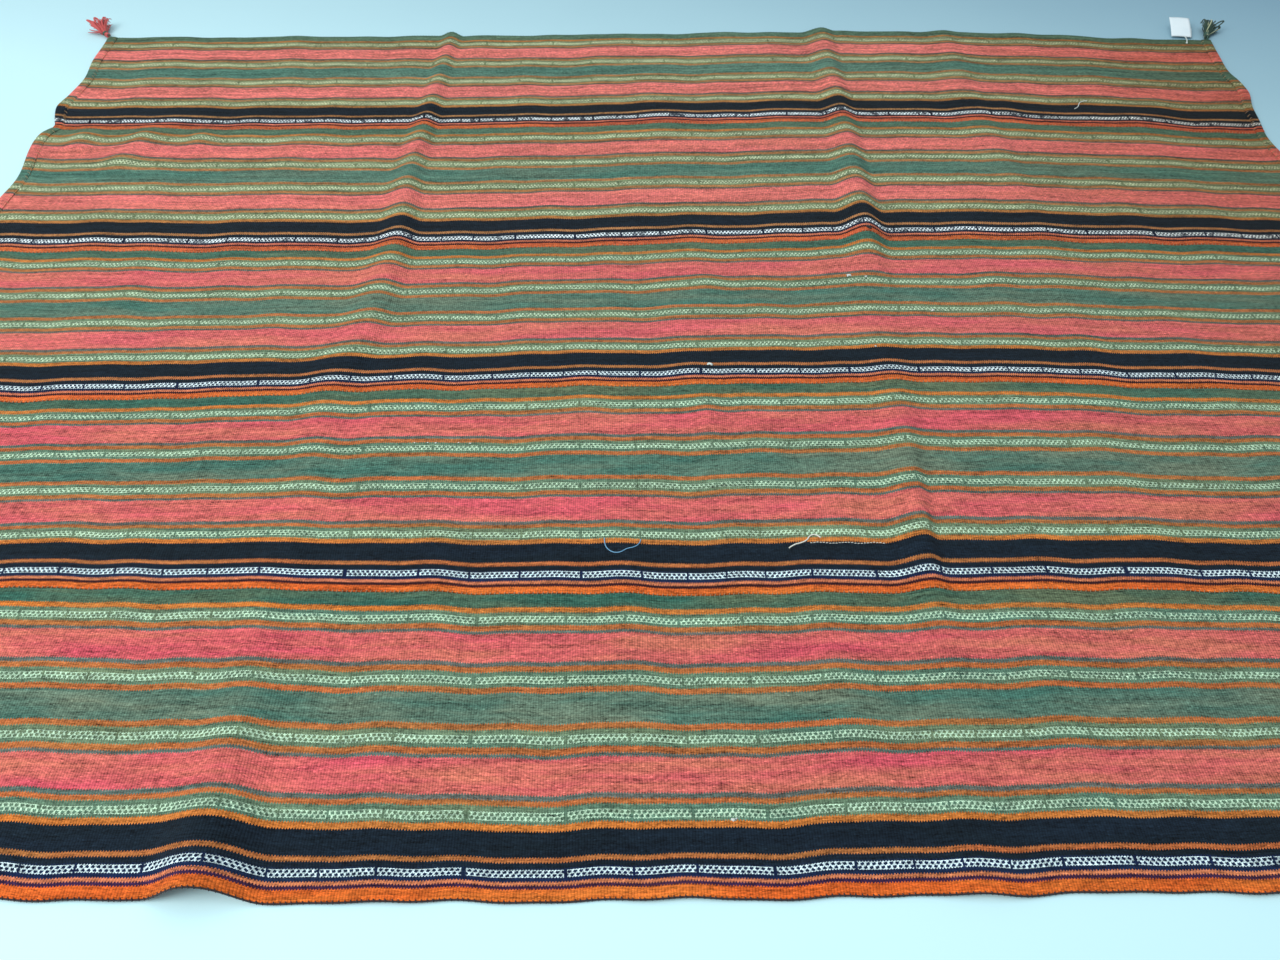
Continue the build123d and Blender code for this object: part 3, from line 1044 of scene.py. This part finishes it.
def makeTassel(tassel):
    low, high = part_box(tassel["node"] + "_wrap")
    wrapMiddle = (Vector(low) + Vector(high)) / 2
    heading = math.radians(tassel["heading"])
    out = Vector((math.cos(heading), math.sin(heading), 0))
    side = Vector((-out.y, out.x, 0))
    knot = wrapMiddle - out * 0.010 + Vector((*tassel["shift"], 0))
    rng = random.Random(tassel["node"])
    pile = Pile()
    paleStarts = addStrands(pile, rng, tassel, knot, out, side)
    addLoops(pile, rng, tassel, knot, out, side)
    addKnot(pile, knot, out, side)
    bundle = pile.piece(tassel["node"].replace("_", "-"), yarns[tassel["wool"]])
    if paleStarts:
        bundle.data.materials.append(yarns["paleWool"])
        first = paleStarts[0]
        count = (paleStarts[1] - first) * len(paleStarts)
        for face in bundle.data.polygons[first:first + count]:
            face.material_index = 1
    return bundle, knot, out, side


def makeTasselWrap(tassel, knot, out, side):
    # yarn wound tightly round the neck, and the cord that ties it to the corner
    pile = Pile()
    turns, fine = 6, 14
    path = []
    for s in range(turns * fine + 1):
        turn = 2 * math.pi * s / fine
        ring = side * math.cos(turn) * 0.0050 + Vector((0, 0, 1)) * math.sin(turn) * 0.0050
        path.append(tuple(knot + out * (0.0072 + 0.00095 * s / fine) + ring))
    pile.tube(path, [0.00055] * len(path), 6)
    for shift in (-0.0012, 0.0012):
        path = [
            tuple(knot - out * 0.0125 + side * shift + Vector((0, 0, 0.0002))),
            tuple(knot - out * 0.0100 + side * shift + Vector((0, 0, 0.0020))),
            tuple(knot - out * 0.0060 + side * shift * 0.6 + Vector((0, 0, 0.0028))),
            tuple(knot - out * 0.0020 + side * shift * 0.3 + Vector((0, 0, 0.0034))),
            tuple(knot + out * 0.0020 + Vector((0, 0, 0.0040))),
        ]
        pile.tube(path, [0.0007] * 5, 6)
    return pile.piece(tassel["node"].replace("_", "-") + "-wrap", yarns["wrap"])


for tassel in tassels:
    bundle, knot, out, side = makeTassel(tassel)
    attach(bundle, tassel["node"])
    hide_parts(tassel["node"])
    wrap = makeTasselWrap(tassel, knot, out, side)
    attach(wrap, tassel["node"])
    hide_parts(tassel["node"] + "_wrap")
print("tassels tied")


# tag and its thread
tag = {
    "width": 0.041,
    "length": 0.058,
    "leaf": 0.0005,
    "lift": 15.0,
    "fold": (1.104, 0.887, 0.0046),
    "skew": -0.15,
}


def makeTag():
    # a blank card folded once, the upper leaf propped up and slightly bowed
    fold = Vector(tag["fold"])
    along = Vector((1, tag["skew"], 0)).normalized()
    ahead = Vector((-along.y, along.x, 0))
    rows, columns = 12, 10
    outline = []
    lift = math.radians(tag["lift"])
    for k in range(rows + 1):
        d = tag["length"] * (1 - k / rows)
        bow = 0.0016 * math.sin(math.pi * d / tag["length"])
        reach = d * math.cos(lift) - bow * math.sin(lift)
        up = d * math.sin(lift) + bow * math.cos(lift) + 0.0003
        outline.append((reach, up))
    for k in range(1, rows + 1):
        d = tag["length"] * 0.88 * k / rows
        outline.append((d, -0.0004 - 0.0030 * (k / rows) ** 1.5))
    vertices, faces = [], []
    for layer in (0, 1):
        for k, (d, z) in enumerate(outline):
            before, after = outline[max(0, k - 1)], outline[min(len(outline) - 1, k + 1)]
            run = Vector((after[0] - before[0], after[1] - before[1])).normalized()
            off = tag["leaf"] * (0.5 - layer)
            for c in range(columns + 1):
                w = tag["width"] * (c / columns - 0.5)
                sag = 0.0009 * math.cos(math.pi * w / tag["width"]) - 0.0009
                lean = 0.011 * (k - rows) / rows if k > rows else 0.0
                p = fold + along * (w + lean) + ahead * (d - run.y * off)
                vertices.append(p + Vector((0, 0, z + run.x * off + sag)))
    wide = columns + 1
    deep = len(outline)
    base = wide * deep
    for k in range(deep - 1):
        for c in range(columns):
            a = k * wide + c
            faces.append((a, a + wide, a + wide + 1, a + 1))
            faces.append((a + base, a + 1 + base, a + wide + 1 + base, a + wide + base))
        for c in (0, columns):
            a = k * wide + c
            ring = (a, a + base, a + wide + base, a + wide)
            faces.append(ring if c == 0 else ring[::-1])
    for k in (0, deep - 1):
        for c in range(columns):
            a = k * wide + c
            ring = (a, a + 1, a + 1 + base, a + base)
            faces.append(ring if k == 0 else ring[::-1])
    return newPiece("blankTag", vertices, faces, cardMaterial)


blankTag = makeTag()
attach(blankTag, "tag")
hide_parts("blank_tag")


def makeTagThread():
    pile = Pile()
    for shift in (0.0, 0.0016):
        path = [
            topPoint(1.1035 + shift, 0.8575, -0.0004),
            topPoint(1.1038 + shift, 0.8590, 0.0012),
            topPoint(1.1046 + shift, 0.8640, 0.0038),
            (1.1056 + shift, 0.8720, 0.0092),
            (1.1064 + shift, 0.8800, 0.0082),
            (1.1070 + shift, 0.8855, 0.0058),
            (1.1072 + shift, 0.8878, 0.0048),
        ]
        pile.tube(path, [0.0005] * len(path), 6)
    # the small knot where the thread goes through the cloth
    path = []
    for s in range(9):
        turn = 2 * math.pi * s / 8
        x, y, z = topPoint(1.1042 + 0.0016 * math.cos(turn), 0.8580 + 0.0013 * math.sin(turn), 0.0007)
        path.append((x, y, z))
    pile.tube(path, [0.0008] * 9, 6)
    return pile.piece("tagThread", yarns["white"])


tagThread = makeTagThread()
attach(tagThread, "far_outer_panel")
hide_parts("tag_thread")
print("tag tied on")


# mending and loose yarns
mending = {"start": 0.162, "pitch": 0.004, "count": 24, "y": -0.458, "long": 0.0026, "radius": 0.0005}


def makeMending():
    rng = random.Random(7)
    pile = Pile()
    for k in range(mending["count"]):
        x = mending["start"] + mending["pitch"] * k
        y = mending["y"] + 0.0008 * math.sin(k * 0.7) + rng.uniform(-0.0003, 0.0003)
        half = mending["long"] / 2
        path = [
            topPoint(x - half, y, -0.0004),
            topPoint(x - half * 0.5, y, 0.0004),
            topPoint(x + half * 0.5, y, 0.0004),
            topPoint(x + half, y, -0.0004),
        ]
        pile.tube(path, [mending["radius"]] * 4, 5)
    return pile.piece("mendingStitches", yarns["mending"])


mendingStitches = makeMending()
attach(mendingStitches, "near_inner_panel")
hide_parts("mending_stitches")

# lint caught in the wool, and the dark end of an open stitch: x, y, size
lint = [
    ("near_outer_panel", "white", [(0.037, -0.821, 0.0022), (0.041, -0.8195, 0.0012)]),
    ("near_inner_panel", "white", [
        (-0.360, -0.278, 0.0010), (-0.342, -0.278, 0.0010), (-0.331, -0.279, 0.0013),
        (-0.300, -0.278, 0.0010), (-0.284, -0.279, 0.0012),
    ]),
    ("middle_panel", "white", [
        (0.302, -0.088, 0.0014), (0.312, 0.075, 0.0020), (0.286, 0.082, 0.0034), (0.404, -0.004, 0.0024),
        (0.053, -0.125, 0.0034),
    ]),
    ("middle_panel", "dark", [(0.331, 0.189, 0.0034), (0.334, 0.186, 0.0024)]),
]


def makeLint(body, yarn, spots):
    rng = random.Random(len(spots))
    pile = Pile()
    for x, y, size in spots:
        for k in range(5):
            turn = rng.uniform(0, math.pi)
            off = Vector((rng.uniform(-1, 1), rng.uniform(-1, 1), 0.2)) * size * 0.3
            middle = Vector(topPoint(x, y, 0.0005)) + off
            half = Vector((math.cos(turn), math.sin(turn) * 0.6, 0.15)) * size
            bend = Vector((0, 0, size * 0.3))
            path = [tuple(middle - half), tuple(middle + bend), tuple(middle + half)]
            pile.tube(path, [size * 0.3, size * 0.4, size * 0.25], 6)
    return pile.piece(f"{yarn}-lint-" + body.replace("_", "-"), yarns[yarn])


for body, yarn, spots in lint:
    fluff = makeLint(body, yarn, spots)
    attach(fluff, body)

looseYarns = [
    {
        "name": "looseBlueThread", "node": "loose_blue_thread", "body": "near_inner_panel",
        "yarn": "blue", "slot": "blue_thread", "radius": 0.0006,
        "route": [
            (-0.099, -0.448), (-0.099, -0.457), (-0.095, -0.466), (-0.087, -0.4715), (-0.078, -0.4705),
            (-0.071, -0.4645), (-0.062, -0.4625), (-0.0545, -0.457), (-0.053, -0.450),
        ],
    },
    {
        "name": "looseWhiteThread", "node": "loose_white_thread", "body": "far_outer_panel",
        "yarn": "white", "slot": "white_thread", "radius": 0.0007,
        "route": [
            (0.826, 0.624), (0.817, 0.6225), (0.8095, 0.617), (0.806, 0.608), (0.802, 0.600), (0.7945, 0.595),
        ],
    },
    {
        "name": "mendingYarnTail", "node": "mending_yarn_tail", "body": "near_inner_panel",
        "yarn": "mending", "slot": "mending_yarn", "radius": 0.0009,
        "route": [
            (0.133, -0.466), (0.140, -0.4605), (0.149, -0.4585), (0.157, -0.4545), (0.161, -0.447),
            (0.169, -0.4445), (0.1745, -0.4505),
        ],
    },
]


def makeLooseYarn(loose):
    curve = bpy.data.curves.new(loose["name"], "CURVE")
    curve.dimensions = "3D"
    curve.bevel_depth = loose["radius"]
    curve.bevel_resolution = 2
    curve.resolution_u = 10
    curve.use_fill_caps = True
    line = curve.splines.new("NURBS")
    points = [topPoint(x, y, loose["radius"] + 0.0003) for x, y in loose["route"]]
    line.points.add(len(points) - 1)
    for place, point in zip(line.points, points):
        place.co = (*point, 1.0)
    line.order_u = 3
    line.use_endpoint_u = True
    curve.materials.append(yarns[loose["yarn"]])
    yarn = bpy.data.objects.new(loose["name"], curve)
    scene.collection.objects.link(yarn)
    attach(yarn, loose["body"])
    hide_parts(loose["node"])
    return yarn


for loose in looseYarns:
    makeLooseYarn(loose)
print("mending and loose yarns laid")
